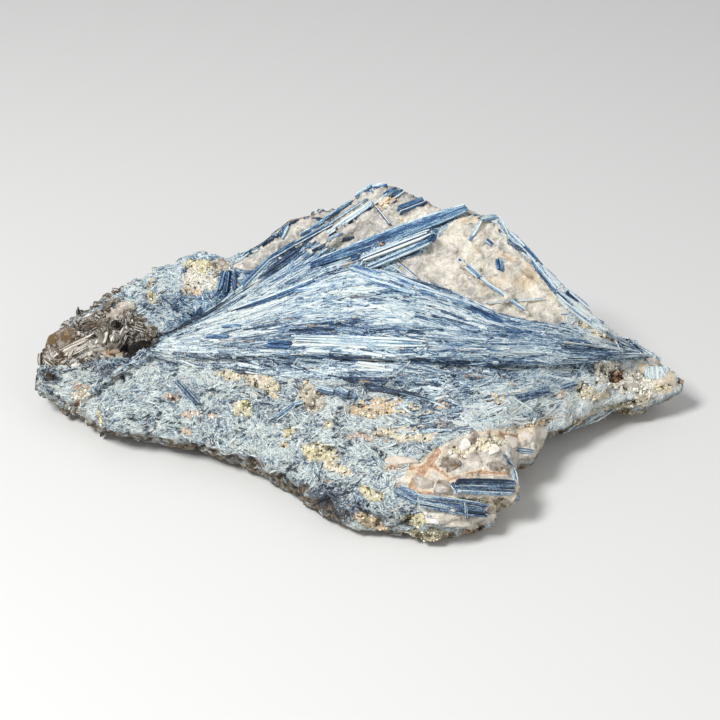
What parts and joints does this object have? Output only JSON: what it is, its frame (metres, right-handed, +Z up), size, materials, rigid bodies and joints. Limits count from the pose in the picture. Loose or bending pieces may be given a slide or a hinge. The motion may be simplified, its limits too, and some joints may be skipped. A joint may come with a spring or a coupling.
{
  "type": "kyanite specimen",
  "caption": "Low wedge-shaped hand specimen of blue kyanite blades fanned over pale vein quartz, resting on a flat underside.",
  "frame": {"origin": "under the middle of the rock's box, on the plane it rests on", "axes": "+X along the length, from the mica end to the point where the blades of the spray meet; +Y from the fanned front to the back; +Z up"},
  "size_m": [0.262, 0.1432, 0.0863],
  "materials": {
    "kyanite": "fibrous blue-grey to deep blue crystal, silky along the blades",
    "quartz": "greasy pale cream-grey vein quartz with ochre and iron staining",
    "mica": "flaky silver-grey and brown mica with a bright sheen on the cleavage"
  },
  "bodies": {
    "root": {"kyanite_cluster": "kyanite"}
  },
  "joints": []
}
